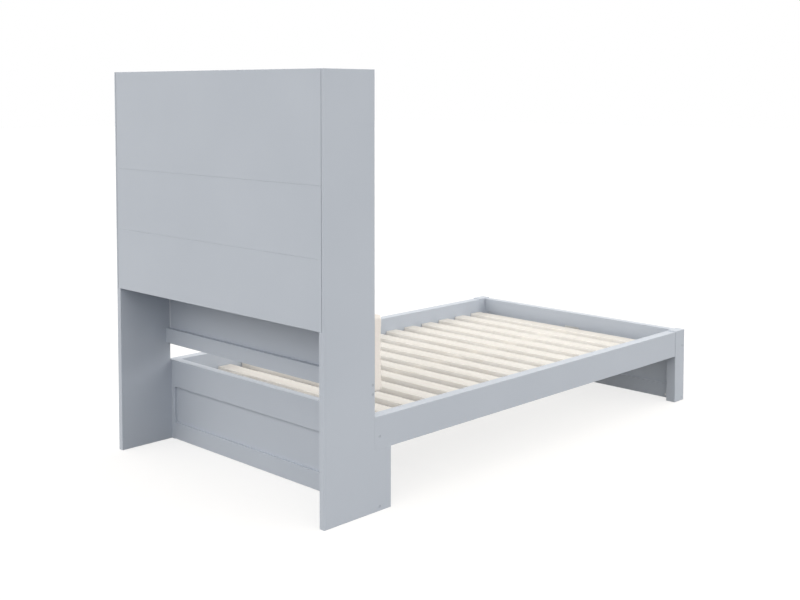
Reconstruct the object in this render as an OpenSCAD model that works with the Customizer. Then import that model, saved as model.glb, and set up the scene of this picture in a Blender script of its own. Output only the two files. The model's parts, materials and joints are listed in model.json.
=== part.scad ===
// Storage bed: a slatted bed whose headboard is a tall bookcase, open towards the bed.
// Millimetres. +Z is up, the head of the bed is at +Y and the foot at -Y.
// The origin is on the floor, in the middle of the bed's outer box.
// Lengths along the bed are given as v, the distance forward from the headboard's rear face.

/* [Mattress] */
// Width of the mattress that the bed takes
mattress_w = 1200; // [900:10:1600]
// Length of the mattress
mattress_l = 2000; // [1900:10:2200]
// Room on each side of the mattress
side_room = 2; // [1:0.5:10]
// Room at each end of the mattress
end_room = 1; // [0.5:0.5:10]

/* [Headboard] */
// Height of the headboard
head_h = 1572; // [1400:1:1800]
// Depth of the headboard, rear face to shelf edge
head_d = 238; // [200:1:300]
// Thickness of the side panels, shelves and outer rail boards
panel_t = 24; // [20:1:30]
// Length that the side panel's foot stands forward of the headboard
foot_reach = 80; // [60:1:110]
// Thickness of the back boards
back_t = 12; // [9:1:15]
// Thickness of side panel left outside the back boards' rabbet
rabbet_cheek = 8.5; // [7:0.5:14]
// Shadow gap between the back boards' ends and the side panels
back_gap = 2.4; // [0.4:0.1:4]
// Hairline gap between two back boards
seam_gap = 0.25; // [0.1:0.05:1]
// Height of the back boards' lower edge
back_bottom = 681; // [600:1:720]
// Height of the seam between the lower and middle back boards
seam_low = 928; // [860:1:1000]
// Height of the seam between the middle and upper back boards
seam_high = 1178; // [1120:1:1250]
// Thickness of the batten across the rear bay
batten_t = 20; // [18:1:26]
// Height of the batten
batten_h = 62; // [50:1:80]

/* [Backrest] */
// Height of the backrest's lower edge above the floor
backrest_bottom = 420; // [380:1:440]
// Height of the backrest's upper edge above the floor
backrest_top = 700; // [695:1:800]
// Thickness of the board that carries the pad
backrest_board_t = 18; // [15:1:24]
// Thickness of the pad at its crown
pad_t = 44; // [30:1:60]
// Radius of the pad's corners
pad_corner_r = 16; // [8:1:30]
// How far the pad's long edges draw in at their middle
pad_draw_in = 4; // [0:0.5:8]

/* [Bed frame] */
// Height of the side rails' lower edge above the floor
rail_bottom = 224; // [180:1:260]
// Height of the side rails
rail_h = 119; // [100:1:150]
// Thickness of the liner inside each side rail
liner_t = 22; // [18:1:28]
// Thickness of the head and foot frames' rails
end_rail_t = 35; // [30:1:45]
// Height of the end frames' top rails
end_top_h = 115; // [90:1:140]
// Height of the end frames' bottom rails
end_bottom_h = 70; // [50:1:90]
// Gap between the end frames and the floor
end_lift = 2; // [1:0.5:10]
// Thickness of the end frames' panels
end_panel_t = 12; // [9:1:16]
// Depth of the grooves that hold the end panels
groove_d = 8; // [5:1:11]
// Gap between the headboard's shelf edge and the head frame
head_frame_gap = 4; // [2:1:10]
// Depth of the foot posts along the bed
post_d = 80; // [60:1:110]
// How far the foot posts stand out from the side rails
post_proud = 2; // [1:0.5:5]
// How far the foot posts rise above the side rails
post_rise = 4; // [1:0.5:12]
// How far the foot frame sits back from the posts' outer faces
foot_set_back = 1; // [0.5:0.5:6]

/* [Slats] */
// Width of a slat
slat_w = 70; // [55:1:90]
// Thickness of a slat
slat_t = 25; // [18:1:30]
// Gap between the head frame and the first slat
slat_start = 61; // [40:1:90]
// Gap between the last slat and the foot frame
slat_end = 51; // [40:1:90]
// Gap between a slat's end and the liner
slat_end_gap = 2; // [1:0.5:6]
// Width of the ledges under the slat ends
ledge_w = 27; // [20:1:40]
// Height of the ledges
ledge_h = 27; // [20:1:36]
// Width of the centre beam and its leg
beam_w = 44; // [35:1:60]
// Height of the centre beam
beam_h = 70; // [50:1:100]
// Depth of the middle leg along the bed
leg_d = 60; // [40:1:90]
// Diameter of the glide under the middle leg
glide_dia = 36; // [30:1:44]
// Thickness of the glide's disc
glide_t = 6; // [4:1:10]
// Diameter of the glide's stem
glide_stem_dia = 8; // [6:0.5:12]
// Length of the glide's stem above its disc
glide_stem_l = 22; // [15:1:40]

/* [Fittings] */
// Diameter of the frame bolts
bolt_dia = 6; // [5:0.5:8]
// Diameter of the bolts' heads
bolt_head_dia = 10; // [9:0.5:14]
// Thickness of the bolts' heads
bolt_head_t = 5; // [3:0.5:6]
// Size of the hexagon socket in a bolt head
bolt_key = 5; // [3:0.5:6]
// Length of a corner bolt
corner_bolt_l = 90; // [84:1:110]
// Distance of the corner bolts from the end frames' inner faces
corner_bolt_inset = 15; // [13:0.5:20]
// Heights of the upper and lower corner bolts above the floor
corner_bolt_z = [270, 16]; // [14:1:280]
// Heights of the batten's bolts above its lower edge
batten_bolt_z = [8, 41]; // [7:1:50]
// Length of a batten bolt
batten_bolt_l = 74; // [60:1:100]
// Heights of the rail bolts above the rail's lower edge
rail_bolt_z = [34, 85]; // [20:1:100]
// Diameter of the barrel nuts and threaded inserts
nut_dia = 10; // [9:0.5:12]
// Length of a barrel nut
nut_l = 24; // [18:1:28]
// Length of a threaded insert
insert_l = 15; // [12:1:25]
// Diameter of a shelf cam
cam_dia = 15; // [12:0.5:20]
// Height of a shelf cam
cam_h = 18; // [17:0.5:19]
// Distance of a shelf cam's centre from the shelf's end
cam_inset = 34; // [24:1:40]
// Diameter of the bolt that a cam draws in
cam_bolt_dia = 6; // [5:0.5:7]
// Depth of the cam bolts and dowels in a side panel
panel_bite = 12; // [10:1:14]
// Distance of the cams from a shelf's front and rear edges
cam_edge = 36; // [24:1:50]
// Distance of the dowels from a shelf's front and rear edges
dowel_edge = 74; // [60:1:95]
// Diameter of the dowels
dowel_dia = 8; // [6:0.5:10]
// Length of a shelf dowel
shelf_dowel_l = 32; // [26:1:40]
// Length of a frame dowel
frame_dowel_l = 38; // [30:1:50]
// Depth of a frame dowel in its post
frame_dowel_bite = 14; // [10:1:18]
// Distances of the frame dowels below the top and bottom end rails' upper edges
frame_dowel_drop = [33, 22]; // [18:1:50]
// Diameter of the wood screws
screw_dia = 4; // [3:0.5:5]
// Diameter of the wood screws' countersunk heads
screw_head_dia = 8; // [7:0.5:10]
// Length of a slat or ledge screw
screw_l = 44; // [38:1:47]
// Length of a backrest screw
backrest_screw_l = 36; // [30:1:38]
// Length of a hanger screw
hanger_screw_l = 26; // [16:1:30]
// Thickness of the beam hangers' steel
hanger_t = 2; // [1.5:0.5:4]
// Length of beam that a hanger holds
hanger_reach = 40; // [30:1:60]
// Width of a hanger's screw flange on each side of the beam
hanger_flange = 20; // [14:1:30]
// Height that a hanger's back plate rises above the beam
hanger_rise = 21; // [17:1:24]
// Distance of a hanger's lower screws above the end rail's lower edge
hanger_screw_low = 16; // [13:1:18]
// Distance of a hanger's upper screws above the beam
hanger_screw_high = 12; // [8:1:14]
// Clearance round fittings and in grooves
fit = 0.2; // [0.1:0.05:0.4]
// Width of the eased edges on the boards
arris = 0.6; // [0.3:0.1:2]
// Width of the eased edges on the foot posts and slats
soft_arris = 1.5; // [0.5:0.1:3]

/* [Hidden] */
$fn = 48;

paint = [0.70, 0.725, 0.76];
pale_wood = [0.93, 0.90, 0.85];
cover = [0.90, 0.86, 0.83];
steel = [0.72, 0.72, 0.74];
zinc = [0.60, 0.60, 0.62];
beech = [0.80, 0.66, 0.48];
black = [0.15, 0.15, 0.16];

// Small lengths: how far a cut runs past a face, the steel under a bolt's socket, the room past the end
// of a corner bolt, how far a rail bolt stops short of its insert's end, and a cam bolt's end from the
// middle of its cam
cut_past = 1;
socket_floor = 1;
bolt_end_room = 2;
rail_bolt_short = 1;
cam_bolt_end = 4;

// Planes across the bed, as half widths
bay_x = mattress_w / 2 + side_room;
inner_x = bay_x + liner_t;
outer_x = inner_x + panel_t;
post_x = outer_x + post_proud;
slat_x = bay_x - slat_end_gap;
ledge_x = bay_x - ledge_w;

// Planes along the bed, as distances from the headboard's rear face
head_frame_v = [head_d + head_frame_gap, head_d + head_frame_gap + end_rail_t];
bay_l = mattress_l + 2 * end_room;
bay_v = [head_frame_v[1], head_frame_v[1] + bay_l];
foot_frame_v = [bay_v[1], bay_v[1] + end_rail_t];
overall_l = foot_frame_v[1] + foot_set_back;
post_v = [overall_l - post_d, overall_l];
foot_v = head_d + foot_reach;
backrest_v = [head_d, head_d + backrest_board_t];
batten_v = [head_d - batten_t, head_d];

// Heights
rail_top = rail_bottom + rail_h;
rail_z = [rail_bottom, rail_top];
end_top_z = [rail_top - end_top_h, rail_top];
end_bottom_z = [end_lift, end_lift + end_bottom_h];
ledge_z = [rail_bottom, rail_bottom + ledge_h];
slat_z = [ledge_z[1], ledge_z[1] + slat_t];
beam_z = [ledge_z[1] - beam_h, ledge_z[1]];
batten_z = [backrest_bottom, backrest_bottom + batten_h];
top_board_z = [head_h - panel_t, head_h];
shelf_upper_z = [seam_high - panel_t / 2, seam_high + panel_t / 2];
shelf_middle_z = [seam_low - panel_t / 2, seam_low + panel_t / 2];
shelf_bottom_z = [back_bottom, back_bottom + panel_t];
shelf_heights = [top_board_z, shelf_upper_z, shelf_middle_z, shelf_bottom_z];
back_upper_z = [seam_high + seam_gap / 2, head_h];
back_middle_z = [seam_low + seam_gap / 2, seam_high - seam_gap / 2];
back_lower_z = [back_bottom, seam_low - seam_gap / 2];

// Slats, spread evenly between the first and the last
slat_count = 15;
slat_pitch = (bay_l - slat_start - slat_end - slat_w) / (slat_count - 1);
function slat_v(i) = bay_v[0] + slat_start + slat_pitch * (i - 1);

// Places of the fittings
corner_bolt_v = [bay_v[0] - corner_bolt_inset, bay_v[1] + corner_bolt_inset];
corner_nut_x = outer_x - corner_bolt_l + nut_dia;
batten_bolt_v = (batten_v[0] + batten_v[1]) / 2;
rail_bolt_x = (inner_x + outer_x) / 2;
rail_bolt_l = post_d + insert_l - rail_bolt_short;
cam_v = [back_t + cam_edge, head_d - cam_edge];
shelf_dowel_v = [back_t + dowel_edge, head_d - dowel_edge];
end_rail_mid_v = [(head_frame_v[0] + head_frame_v[1]) / 2, (foot_frame_v[0] + foot_frame_v[1]) / 2];
frame_dowel_z = [end_top_z[1] - frame_dowel_drop[0], end_bottom_z[1] - frame_dowel_drop[1]];
leg_v = [(bay_v[0] + bay_v[1] - leg_d) / 2, (bay_v[0] + bay_v[1] + leg_d) / 2];
leg_mid_v = (bay_v[0] + bay_v[1]) / 2;
backrest_screw_count = 5;
backrest_screw_pitch = 2 * inner_x / backrest_screw_count;
hanger_screw_z = [end_top_z[0] + hanger_screw_low, ledge_z[1] + hanger_screw_high];
hanger_screw_x = beam_w / 2 + hanger_t + hanger_flange / 2;

// The y of a plane at distance v from the headboard's rear face
function y_at(v) = overall_l / 2 - v;

// Rectangle with its four corners eased
module eased_outline(w, h, e) {
  polygon([[e, 0], [w - e, 0], [w, e], [w, h - e], [w - e, h], [e, h], [0, h - e], [0, e]]);
}

// Board between x, v and z limits, with its edges eased along x, y or z
module board(x, v, z, along = "x", e = arris) {
  s = [x[1] - x[0], v[1] - v[0], z[1] - z[0]];
  translate([x[0], y_at(v[1]), z[0]]) {
    if (along == "x") rotate([90, 0, 90]) linear_extrude(s[0]) eased_outline(s[1], s[2], e);
    if (along == "y") translate([0, s[1], 0]) rotate([90, 0, 0]) linear_extrude(s[1]) eased_outline(s[0], s[2], e);
    if (along == "z") linear_extrude(s[2]) eased_outline(s[0], s[1], e);
  }
}

// Board with every edge eased
module eased_board(x, v, z, e) {
  intersection() {
    board(x, v, z, "x", e);
    board(x, v, z, "y", e);
    board(x, v, z, "z", e);
  }
}

// Plain block between x, v and z limits
module block(x, v, z) {
  translate([x[0], y_at(v[1]), z[0]]) cube([x[1] - x[0], v[1] - v[0], z[1] - z[0]]);
}

// Round bars along x, along the bed and upright
module rod_x(x, v, z, d) {
  translate([x[0], y_at(v), z]) rotate([0, 90, 0]) cylinder(h = x[1] - x[0], d = d);
}

module rod_v(x, v, z, d) {
  translate([x, y_at(v[1]), z]) rotate([-90, 0, 0]) cylinder(h = v[1] - v[0], d = d);
}

module rod_z(x, v, z, d) {
  translate([x, y_at(v), z[0]]) cylinder(h = z[1] - z[0], d = d);
}

// Draws its children on the right, or mirrored on the left
module on_side(side) {
  if (side == "left") mirror([1, 0, 0]) children();
  else children();
}

module both_sides() {
  children();
  mirror([1, 0, 0]) children();
}

// Bolt with a hexagon socket in its head: the head's face is at z = 0 and the shank points down
module frame_bolt(length) {
  difference() {
    union() {
      translate([0, 0, -bolt_head_t]) cylinder(h = bolt_head_t, d = bolt_head_dia);
      translate([0, 0, -length]) cylinder(h = length, d = bolt_dia);
    }
    translate([0, 0, socket_floor - bolt_head_t]) cylinder(h = bolt_head_t, d = bolt_key / cos(30), $fn = 6);
  }
}

// Room for a frame bolt, with its head sunk flush
module frame_bolt_hole(length) {
  translate([0, 0, -bolt_head_t - fit]) cylinder(h = bolt_head_t + 2 * fit, d = bolt_head_dia + 2 * fit);
  translate([0, 0, -length - fit]) cylinder(h = length + fit, d = bolt_dia + 2 * fit);
}

// Countersunk wood screw: its head's face is at z = 0 and its shank points down
module wood_screw(length) {
  head_t = (screw_head_dia - screw_dia) / 2;
  translate([0, 0, -head_t]) cylinder(h = head_t, d1 = screw_dia, d2 = screw_head_dia);
  translate([0, 0, -length]) cylinder(h = length - head_t, d = screw_dia);
}

// Room for a wood screw, from its countersink down
module wood_screw_hole(length) {
  head_t = (screw_head_dia - screw_dia) / 2;
  translate([0, 0, -head_t]) cylinder(h = head_t + fit, d1 = screw_dia + 2 * fit, d2 = screw_head_dia + 4 * fit);
  translate([0, 0, -length - fit]) cylinder(h = length, d = screw_dia + 2 * fit);
}

// Places of the fittings: each module sets its children at every place of one kind
module at_corner_bolts_right() {
  for (z = corner_bolt_z) {
    translate([outer_x, y_at(corner_bolt_v[0]), z]) rotate([0, 90, 0]) children();
    translate([post_x, y_at(corner_bolt_v[1]), z]) rotate([0, 90, 0]) children();
  }
}

module at_batten_bolts_right() {
  for (z = batten_bolt_z) {
    translate([outer_x, y_at(batten_bolt_v), backrest_bottom + z]) rotate([0, 90, 0]) children();
  }
}

module at_rail_bolts_right() {
  for (z = rail_bolt_z) {
    translate([rail_bolt_x, y_at(post_v[1]), rail_bottom + z]) rotate([90, 0, 0]) children();
  }
}

module at_slat_screws(i) {
  both_sides() translate([(bay_x + ledge_x) / 2, y_at(slat_v(i) + slat_w / 2), slat_z[1]]) children();
}

module at_ledge_screws_right() {
  for (i = [1 : 2 : slat_count - 2]) {
    v = slat_v(i) + (slat_w + slat_pitch) / 2;
    translate([ledge_x, y_at(v), (ledge_z[0] + ledge_z[1]) / 2]) rotate([0, -90, 0]) children();
  }
}

module at_backrest_screws() {
  for (i = [0 : backrest_screw_count - 1]) {
    x = -inner_x + backrest_screw_pitch * (i + 0.5);
    for (z = [(batten_z[0] + batten_z[1]) / 2, (shelf_bottom_z[0] + backrest_top) / 2]) {
      translate([x, y_at(backrest_v[1]), z]) rotate([90, 0, 0]) children();
    }
  }
}

module at_hanger_screws() {
  for (x = [-hanger_screw_x, hanger_screw_x]) {
    for (z = hanger_screw_z) {
      translate([x, y_at(bay_v[0] + hanger_t), z]) rotate([90, 0, 0]) children();
      translate([x, y_at(bay_v[1] - hanger_t), z]) rotate([-90, 0, 0]) children();
    }
  }
}

// Bores for the corner bolts and barrel nuts of both end frames
module corner_holes() {
  both_sides() {
    at_corner_bolts_right() frame_bolt_hole(corner_bolt_l + bolt_end_room);
    corner_nut_seats(fit);
  }
}

// Barrel nuts as plain bars, let in from the mattress side
module corner_nut_seats(gap) {
  for (z = corner_bolt_z) {
    rod_v(corner_nut_x, [corner_bolt_v[0] - nut_l / 2 - gap, bay_v[0] + gap], z, nut_dia + 2 * gap);
    rod_v(corner_nut_x, [bay_v[1] - gap, corner_bolt_v[1] + nut_l / 2 + gap], z, nut_dia + 2 * gap);
  }
}

// Dowels between the end rails and the posts, and on top of the middle leg
module frame_dowel_bars(gap) {
  d = dowel_dia + 2 * gap;
  x0 = bay_x + frame_dowel_bite - frame_dowel_l;
  for (v = end_rail_mid_v) {
    for (z = frame_dowel_z) {
      both_sides() rod_x([x0 - gap, x0 + frame_dowel_l + gap], v, z, d);
    }
  }
  rod_z(0, leg_mid_v, [beam_z[0] - frame_dowel_l / 2 - gap, beam_z[0] + frame_dowel_l / 2 + gap], d);
}

// Bars of the shelf fittings at one shelf's height, on the right
module cam_bars(z, gap) {
  for (v = cam_v) {
    rod_z(inner_x - cam_inset, v, [z[0] - gap, z[0] + cam_h + gap], cam_dia + 2 * gap);
  }
}

module cam_bolt_bars(z, gap) {
  for (v = cam_v) {
    rod_x([inner_x - cam_inset + cam_bolt_end, inner_x + panel_bite + gap], v, (z[0] + z[1]) / 2,
      cam_bolt_dia + 2 * gap);
  }
}

module shelf_dowel_bars(z, gap) {
  x1 = inner_x + panel_bite;
  for (v = shelf_dowel_v) {
    rod_x([x1 - shelf_dowel_l - gap, x1 + gap], v, (z[0] + z[1]) / 2, dowel_dia + 2 * gap);
  }
}

// Headboard
module side_panel(side) {
  color(paint) on_side(side) difference() {
    union() {
      eased_board([inner_x, outer_x], [0, head_d], [0, head_h], arris);
      eased_board([inner_x, outer_x], [0, foot_v], [0, rail_bottom], arris);
    }
    block([inner_x - cut_past, outer_x - rabbet_cheek], [-cut_past, back_t], [back_bottom, head_h + cut_past]);
    at_corner_bolts_right() frame_bolt_hole(corner_bolt_l);
    at_batten_bolts_right() frame_bolt_hole(batten_bolt_l);
    for (z = shelf_heights) {
      cam_bolt_bars(z, fit);
      shelf_dowel_bars(z, fit);
    }
  }
}

module shelf(z) {
  color(paint) difference() {
    board([-inner_x, inner_x], [back_t, head_d], z);
    both_sides() {
      cam_bars(z, fit);
      cam_bolt_bars(z, fit);
      shelf_dowel_bars(z, fit);
    }
    if (z == shelf_bottom_z) at_backrest_screws() wood_screw_hole(backrest_screw_l);
  }
}

module back_board(z) {
  w = outer_x - rabbet_cheek - back_gap;
  color(paint) board([-w, w], [0, back_t], z);
}

module rear_batten() {
  color(paint) difference() {
    board([-inner_x, inner_x], batten_v, batten_z);
    both_sides() at_batten_bolts_right() frame_bolt_hole(batten_bolt_l);
    at_backrest_screws() wood_screw_hole(backrest_screw_l);
  }
}

// Backrest
module backrest_board() {
  color(paint) difference() {
    board([-inner_x, inner_x], backrest_v, [backrest_bottom, backrest_top]);
    at_backrest_screws() wood_screw_hole(backrest_screw_l);
  }
}

// Points round a rounded rectangle of half sizes a and b, drawn in along its sides: sixteen steps along
// each long side, four up each end and fifteen degrees a step round the corners
function pad_outline(a, b, r) = [
  for (p = concat(
    [for (i = [0 : 3]) [a, -b + r + (2 * b - 2 * r) * i / 4]],
    [for (i = [0 : 5]) [a - r + r * cos(15 * i), b - r + r * sin(15 * i)]],
    [for (i = [0 : 15]) [a - r - (2 * a - 2 * r) * i / 16, b]],
    [for (i = [0 : 5]) [-a + r - r * sin(15 * i), b - r + r * cos(15 * i)]],
    [for (i = [0 : 3]) [-a, b - r - (2 * b - 2 * r) * i / 4]],
    [for (i = [0 : 5]) [-a + r - r * cos(15 * i), -b + r - r * sin(15 * i)]],
    [for (i = [0 : 15]) [-a + r + (2 * a - 2 * r) * i / 16, -b]],
    [for (i = [0 : 5]) [a - r + r * sin(15 * i), -b + r - r * cos(15 * i)]]))
    [p[0] * (1 - pad_draw_in / 2 / a * (1 - pow(p[1] / b, 2))), p[1] * (1 - pad_draw_in / b * (1 - pow(p[0] / a, 2)))]
];

// Rings of the pad from its flat back to its crown: inset from the outline, share of the thickness
pad_rings = [[2, 0], [0.4, 0.05], [0, 0.15], [0, 0.86], [0.9, 0.92], [2.6, 0.96], [6, 0.98], [20, 0.99], [50, 1]];

module backrest_pad() {
  a = inner_x;
  b = (backrest_top - backrest_bottom) / 2;
  rings = [for (r = pad_rings) pad_outline(a - r[0], b - r[0], max(pad_corner_r - r[0] / 2, 3))];
  n = len(rings[0]);
  last = len(pad_rings) - 1;
  points = [for (k = [0 : last]) for (p = rings[k]) [p[0], -pad_t * pad_rings[k][1], p[1]]];
  walls = [for (k = [0 : last - 1]) for (i = [0 : n - 1]) for (half = [0, 1]) let (j = (i + 1) % n)
    half == 0 ? [k * n + i, (k + 1) * n + i, k * n + j] : [k * n + j, (k + 1) * n + i, (k + 1) * n + j]];
  back = [[for (i = [0 : n - 1]) i]];
  front = [[for (i = [n - 1 : -1 : 0]) last * n + i]];
  color(cover) translate([0, y_at(backrest_v[1]), (backrest_top + backrest_bottom) / 2])
    polyhedron(points, concat(walls, back, front), convexity = 4);
}

// Head and foot frames
module end_top_rail(v) {
  color(paint) difference() {
    board([-bay_x, bay_x], v, end_top_z);
    end_panel_block(v, fit);
    corner_holes();
    frame_dowel_bars(fit);
    at_hanger_screws() wood_screw_hole(hanger_screw_l);
  }
}

module end_bottom_rail(v) {
  color(paint) difference() {
    board([-bay_x, bay_x], v, end_bottom_z);
    end_panel_block(v, fit);
    corner_holes();
    frame_dowel_bars(fit);
  }
}

// The end panel as a block, or the grooves that take it when gap is the clearance
module end_panel_block(v, gap) {
  mid = (v[0] + v[1]) / 2;
  x = bay_x + groove_d - fit + gap;
  block([-x, x], [mid - end_panel_t / 2 - gap, mid + end_panel_t / 2 + gap],
    [end_bottom_z[1] - groove_d + fit - gap, end_top_z[0] + groove_d - fit + gap]);
}

module end_panel(v) {
  color(paint) end_panel_block(v, 0);
}

module head_post(side) {
  color(paint) on_side(side) difference() {
    board([bay_x, inner_x], [head_frame_v[0], foot_v], [0, rail_top], "z");
    end_panel_block(head_frame_v, fit);
    corner_holes();
    frame_dowel_bars(fit);
  }
}

module foot_post(side) {
  color(paint) on_side(side) difference() {
    eased_board([bay_x, post_x], post_v, [0, rail_top + post_rise], soft_arris);
    end_panel_block(foot_frame_v, fit);
    corner_holes();
    frame_dowel_bars(fit);
    at_rail_bolts_right() frame_bolt_hole(rail_bolt_l);
  }
}

// Side rails
module side_rail(side) {
  color(paint) on_side(side) difference() {
    board([inner_x, outer_x], [head_d, post_v[0]], rail_z, "y");
    corner_holes();
    at_rail_bolts_right() frame_bolt_hole(rail_bolt_l);
    rail_insert_bars(fit);
  }
}

module rail_insert_bars(gap) {
  for (z = rail_bolt_z) {
    rod_v(rail_bolt_x, [post_v[0] - insert_l - gap, post_v[0] + gap], rail_bottom + z, nut_dia + 2 * gap);
  }
}

module rail_liner(side) {
  color(paint) on_side(side) difference() {
    board([bay_x, inner_x], [foot_v, post_v[0]], rail_z, "y");
    at_ledge_screws_right() wood_screw_hole(screw_l);
  }
}

module slat_ledge(side) {
  color(pale_wood) on_side(side) difference() {
    board([ledge_x, bay_x], bay_v, ledge_z, "y");
    at_ledge_screws_right() wood_screw_hole(screw_l);
    for (i = [1 : slat_count]) at_slat_screws(i) wood_screw_hole(screw_l);
  }
}

// Slatted base
module slat(i) {
  color(pale_wood) difference() {
    eased_board([-slat_x, slat_x], [slat_v(i), slat_v(i) + slat_w], slat_z, soft_arris);
    at_slat_screws(i) wood_screw_hole(screw_l);
  }
}

module centre_beam() {
  color(pale_wood) difference() {
    board([-beam_w / 2, beam_w / 2], [bay_v[0] + hanger_t, bay_v[1] - hanger_t], beam_z, "y");
    frame_dowel_bars(fit);
  }
}

module centre_leg() {
  color(pale_wood) difference() {
    board([-beam_w / 2, beam_w / 2], leg_v, [glide_t, beam_z[0]], "z");
    frame_dowel_bars(fit);
    rod_z(0, leg_mid_v, [glide_t - cut_past, glide_t + glide_stem_l + fit], glide_stem_dia + 2 * fit);
  }
}

module leg_glide() {
  color(black) {
    rod_z(0, leg_mid_v, [0, glide_t], glide_dia);
    rod_z(0, leg_mid_v, [glide_t / 2, glide_t + glide_stem_l], glide_stem_dia);
  }
}

// Steel stirrup that carries one end of the centre beam, screwed to an end frame's top rail
module beam_hanger(v0) {
  w = beam_w / 2 + fit;
  z0 = beam_z[0] - hanger_t;
  block([-w - hanger_t - hanger_flange, w + hanger_t + hanger_flange], [v0, v0 + hanger_t],
    [z0, ledge_z[1] + hanger_rise]);
  block([-w - hanger_t, w + hanger_t], [v0, v0 + hanger_reach], [z0, beam_z[0]]);
  both_sides() block([w, w + hanger_t], [v0, v0 + hanger_reach], [z0, ledge_z[1]]);
}

module beam_hangers() {
  color(steel) difference() {
    union() {
      beam_hanger(bay_v[0]);
      translate([0, 2 * y_at(leg_mid_v), 0]) mirror([0, 1, 0]) beam_hanger(bay_v[0]);
    }
    at_hanger_screws() wood_screw_hole(hanger_screw_l);
  }
}

// Fittings
module corner_bolts() {
  color(zinc) both_sides() at_corner_bolts_right() frame_bolt(corner_bolt_l);
}

module corner_barrel_nuts() {
  color(zinc) both_sides() difference() {
    for (v = corner_bolt_v) {
      for (z = corner_bolt_z) rod_v(corner_nut_x, [v - nut_l / 2, v + nut_l / 2], z, nut_dia);
    }
    at_corner_bolts_right() frame_bolt_hole(corner_bolt_l);
  }
}

module rail_bolts() {
  color(zinc) both_sides() at_rail_bolts_right() frame_bolt(rail_bolt_l);
}

module rail_inserts() {
  color(zinc) both_sides() difference() {
    rail_insert_bars(0);
    at_rail_bolts_right() frame_bolt_hole(rail_bolt_l);
  }
}

module batten_bolts() {
  color(zinc) both_sides() at_batten_bolts_right() frame_bolt(batten_bolt_l);
}

module shelf_cams() {
  color(zinc) both_sides() difference() {
    for (z = shelf_heights) cam_bars(z, 0);
    for (z = shelf_heights) cam_bolt_bars(z, fit);
  }
}

module cam_bolts() {
  color(zinc) both_sides() for (z = shelf_heights) cam_bolt_bars(z, 0);
}

module shelf_dowels() {
  color(beech) both_sides() for (z = shelf_heights) shelf_dowel_bars(z, 0);
}

module frame_dowels() {
  color(beech) frame_dowel_bars(0);
}

module slat_screws() {
  color(zinc) for (i = [1 : slat_count]) at_slat_screws(i) wood_screw(screw_l);
}

module ledge_screws() {
  color(zinc) both_sides() at_ledge_screws_right() wood_screw(screw_l);
}

module backrest_screws() {
  color(zinc) at_backrest_screws() wood_screw(backrest_screw_l);
}

module hanger_screws() {
  color(zinc) at_hanger_screws() wood_screw(hanger_screw_l);
}

side_panel("left");  // side_panel_left
side_panel("right");  // side_panel_right
shelf(top_board_z);  // top_board
shelf(shelf_upper_z);  // shelf_upper
shelf(shelf_middle_z);  // shelf_middle
shelf(shelf_bottom_z);  // shelf_bottom
back_board(back_upper_z);  // back_board_upper
back_board(back_middle_z);  // back_board_middle
back_board(back_lower_z);  // back_board_lower
rear_batten();
backrest_board();
backrest_pad();
head_post("left");  // head_post_left
head_post("right");  // head_post_right
end_top_rail(head_frame_v);  // head_top_rail
end_bottom_rail(head_frame_v);  // head_bottom_rail
end_panel(head_frame_v);  // head_panel
side_rail("left");  // side_rail_left
side_rail("right");  // side_rail_right
rail_liner("left");  // rail_liner_left
rail_liner("right");  // rail_liner_right
slat_ledge("left");  // slat_ledge_left
slat_ledge("right");  // slat_ledge_right
foot_post("left");  // foot_post_left
foot_post("right");  // foot_post_right
end_top_rail(foot_frame_v);  // foot_top_rail
end_bottom_rail(foot_frame_v);  // foot_bottom_rail
end_panel(foot_frame_v);  // foot_panel
centre_beam();
centre_leg();
leg_glide();
beam_hangers();
slat(1);  // slat_01
slat(2);  // slat_02
slat(3);  // slat_03
slat(4);  // slat_04
slat(5);  // slat_05
slat(6);  // slat_06
slat(7);  // slat_07
slat(8);  // slat_08
slat(9);  // slat_09
slat(10);  // slat_10
slat(11);  // slat_11
slat(12);  // slat_12
slat(13);  // slat_13
slat(14);  // slat_14
slat(15);  // slat_15
corner_bolts();
corner_barrel_nuts();
rail_bolts();
rail_inserts();
batten_bolts();
shelf_cams();
cam_bolts();
shelf_dowels();
frame_dowels();
slat_screws();
ledge_screws();
backrest_screws();
hanger_screws();
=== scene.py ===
import json
import math

import bmesh
import bpy
from mathutils import Matrix, Vector
from mathutils.bvhtree import BVHTree


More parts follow.
